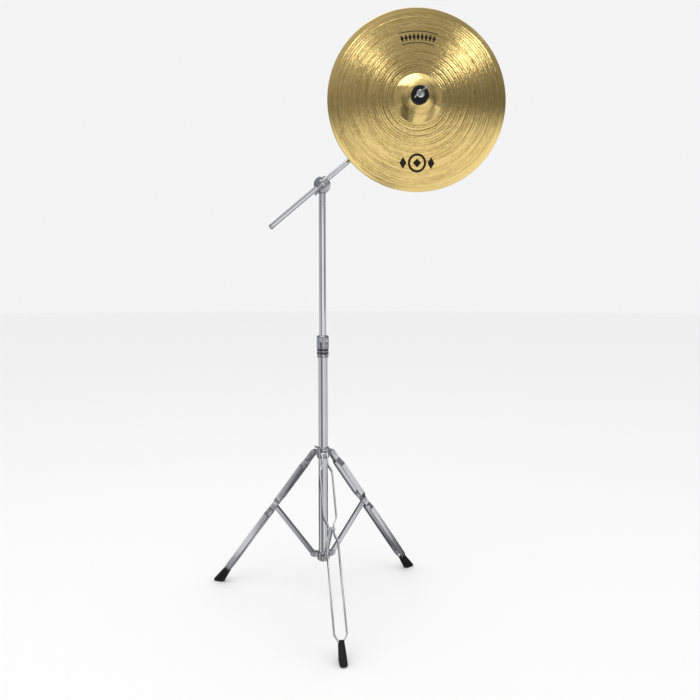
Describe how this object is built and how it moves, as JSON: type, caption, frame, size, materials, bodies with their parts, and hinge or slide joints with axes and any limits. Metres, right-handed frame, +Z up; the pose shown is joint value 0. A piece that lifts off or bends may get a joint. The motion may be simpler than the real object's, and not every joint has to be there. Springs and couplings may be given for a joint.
{
  "type": "crash cymbal on boom stand",
  "caption": "Thin bronze crash cymbal held between felts on a chromed folding tripod stand with a telescoping tube, a tilting boom arm and a cymbal tilter.",
  "frame": {"origin": "on the floor, under the middle of the object's box at rest", "axes": "+Z up along the stand's tubes; the cymbal's face looks along -Y; +X towards the cymbal's side of the boom"},
  "size_m": [0.7953, 0.5651, 1.5647],
  "materials": {
    "chrome_tube": "polished chrome plate on steel tube",
    "chrome_strip": "chrome plate on rolled steel strip, slightly softer than the tubes",
    "chrome_casting": "chrome plate on cast parts, softened edges",
    "chrome_fastener": "bright plated fasteners",
    "black_rubber": "matt moulded rubber",
    "black_nylon": "satin black nylon",
    "black_felt": "dense black felt with a short fuzz",
    "cymbal_bronze": "golden cymbal alloy, lathed and hammered, smooth on the bell's rim"
  },
  "bodies": {
    "stand_base": {"base_tube": "chrome_tube", "lower_collar": "chrome_casting", "lower_collar_screw": "chrome_fastener", "brace_rivets": "chrome_fastener", "height_clamp": "chrome_casting", "clamp_ring": "black_nylon"},
    "tripod_collar": {"sliding_collar": "chrome_casting", "leg_top_rivets": "chrome_fastener"},
    "collar_wing": {"collar_wing_bolt": "chrome_fastener"},
    "leg_front": {"leg_front_strip_a": "chrome_strip", "leg_front_strip_b": "chrome_strip", "leg_front_rivets": "chrome_fastener", "foot_front": "black_rubber"},
    "leg_left": {"leg_left_strip_a": "chrome_strip", "leg_left_strip_b": "chrome_strip", "leg_left_rivets": "chrome_fastener", "foot_left": "black_rubber"},
    "leg_right": {"leg_right_strip_a": "chrome_strip", "leg_right_strip_b": "chrome_strip", "leg_right_rivets": "chrome_fastener", "foot_right": "black_rubber"},
    "brace_arm_front": {"brace_front": "chrome_strip"},
    "brace_arm_left": {"brace_left": "chrome_strip"},
    "brace_arm_right": {"brace_right": "chrome_strip"},
    "height_turn": {"height_bushing": "black_nylon", "memory_lock": "chrome_casting", "memory_lock_screw": "chrome_fastener"},
    "height_wing": {"height_wing_bolt": "chrome_fastener"},
    "upper_section": {"upper_tube": "chrome_tube", "boom_socket": "chrome_casting", "socket_screws": "chrome_fastener"},
    "boom_head": {"boom_clamp": "chrome_casting", "boom_eyebolt": "chrome_fastener"},
    "boom_wing": {"boom_wing_nut": "chrome_fastener"},
    "boom_roller": {"boom_sleeve": "chrome_casting"},
    "boom_arm": {"boom_rod": "chrome_tube", "boom_end_cap": "chrome_fastener", "tilter_base": "chrome_casting", "neck_rivet": "chrome_fastener"},
    "tilter_wing": {"tilter_wing_bolt": "chrome_fastener"},
    "cymbal_arm": {"tilter_arm": "chrome_casting", "cymbal_stud": "chrome_fastener", "cup_washer": "black_nylon", "lower_felt": "black_felt", "upper_felt": "black_felt"},
    "cymbal_seat": {"cymbal_sleeve": "black_nylon"},
    "cymbal_body": {"cymbal": "cymbal_bronze"},
    "top_wing": {"top_wing_nut": "chrome_fastener"}
  },
  "joints": [
    {"name": "tripod_fold", "type": "slide", "parent": "stand_base", "child": "tripod_collar", "axis": [0, 0, 1], "range_m": [0, 0.087]},
    {"name": "leg_front_fold", "type": "hinge", "parent": "tripod_collar", "child": "leg_front", "pos_m": [-0.06636, 0.03874, 0.413], "axis": [0.9912, 0.1323, 0], "range_deg": [0, 36.8]},
    {"name": "leg_left_fold", "type": "hinge", "parent": "tripod_collar", "child": "leg_left", "pos_m": [-0.09542, 0.07648, 0.413], "axis": [-0.3811, -0.9245, 0], "range_deg": [0, 36.8]},
    {"name": "leg_right_fold", "type": "hinge", "parent": "tripod_collar", "child": "leg_right", "pos_m": [-0.04821, 0.08278, 0.413], "axis": [-0.6101, 0.7923, 0], "range_deg": [0, 36.8]},
    {"name": "brace_front_fold", "type": "hinge", "parent": "stand_base", "child": "brace_arm_front", "pos_m": [-0.06603, 0.03626, 0.125], "axis": [0.9912, 0.1323, 0], "range_deg": [-43.8, 0]},
    {"name": "brace_left_fold", "type": "hinge", "parent": "stand_base", "child": "brace_arm_left", "pos_m": [-0.09774, 0.07743, 0.125], "axis": [-0.3811, -0.9245, 0], "range_deg": [-43.8, 0]},
    {"name": "brace_right_fold", "type": "hinge", "parent": "stand_base", "child": "brace_arm_right", "pos_m": [-0.04623, 0.0843, 0.125], "axis": [-0.6101, 0.7923, 0], "range_deg": [-43.8, 0]},
    {"name": "height_swivel", "type": "hinge", "parent": "stand_base", "child": "height_turn", "pos_m": [-0.07, 0.066, 0.696], "axis": [0, 0, 1], "continuous": true},
    {"name": "height_slide", "type": "slide", "parent": "height_turn", "child": "upper_section", "axis": [0, 0, 1], "range_m": [-0.335, 0.09]},
    {"name": "boom_tilt", "type": "hinge", "parent": "upper_section", "child": "boom_head", "pos_m": [-0.07, 0.066, 1.133], "axis": [0, -1, 0], "range_deg": [-70, 50]},
    {"name": "boom_roll", "type": "hinge", "parent": "boom_head", "child": "boom_roller", "pos_m": [-0.07, 0.041, 1.133], "axis": [0.766, 0, 0.6428], "continuous": true},
    {"name": "boom_slide", "type": "slide", "parent": "boom_roller", "child": "boom_arm", "axis": [0.766, 0, 0.6428], "range_m": [-0.064, 0.13]},
    {"name": "cymbal_tilt", "type": "hinge", "parent": "boom_arm", "child": "cymbal_arm", "pos_m": [0.14066, 0.041, 1.30977], "axis": [-0.6428, 0, 0.766], "range_deg": [-2, 95]},
    {"name": "cymbal_spin", "type": "hinge", "parent": "cymbal_arm", "child": "cymbal_seat", "pos_m": [0.17207, -0.0305, 1.33612], "axis": [0, -1, 0], "continuous": true},
    {"name": "cymbal_rock", "type": "hinge", "parent": "cymbal_seat", "child": "cymbal_body", "pos_m": [0.17207, -0.0305, 1.33612], "axis": [0.766, 0, 0.6428], "range_deg": [-2.5, 2.5]},
    {"name": "collar_bolt_turn", "type": "hinge", "parent": "tripod_collar", "child": "collar_wing", "pos_m": [-0.07308, 0.08909, 0.415], "axis": [-0.1323, 0.9912, 0], "continuous": true},
    {"name": "height_bolt_turn", "type": "hinge", "parent": "stand_base", "child": "height_wing", "pos_m": [-0.07, 0.0913, 0.6825], "axis": [0, 1, 0], "continuous": true},
    {"name": "boom_nut_turn", "type": "hinge", "parent": "boom_head", "child": "boom_wing", "pos_m": [-0.07, 0.0743, 1.133], "axis": [0, 1, 0], "continuous": true},
    {"name": "tilter_bolt_turn", "type": "hinge", "parent": "boom_arm", "child": "tilter_wing", "pos_m": [0.14066, 0.041, 1.30977], "axis": [0.6428, 0, -0.766], "continuous": true},
    {"name": "top_nut_turn", "type": "hinge", "parent": "cymbal_arm", "child": "top_wing", "pos_m": [0.17207, -0.0523, 1.33612], "axis": [0, -1, 0], "continuous": true}
  ],
  "couplings": [
    {"joint": "leg_front_fold", "follows": "tripod_fold", "rad_per_m": 7.2821},
    {"joint": "leg_left_fold", "follows": "tripod_fold", "rad_per_m": 7.2821},
    {"joint": "leg_right_fold", "follows": "tripod_fold", "rad_per_m": 7.2821},
    {"joint": "brace_front_fold", "follows": "tripod_fold", "rad_per_m": -8.6567},
    {"joint": "brace_left_fold", "follows": "tripod_fold", "rad_per_m": -8.6567},
    {"joint": "brace_right_fold", "follows": "tripod_fold", "rad_per_m": -8.6567}
  ]
}
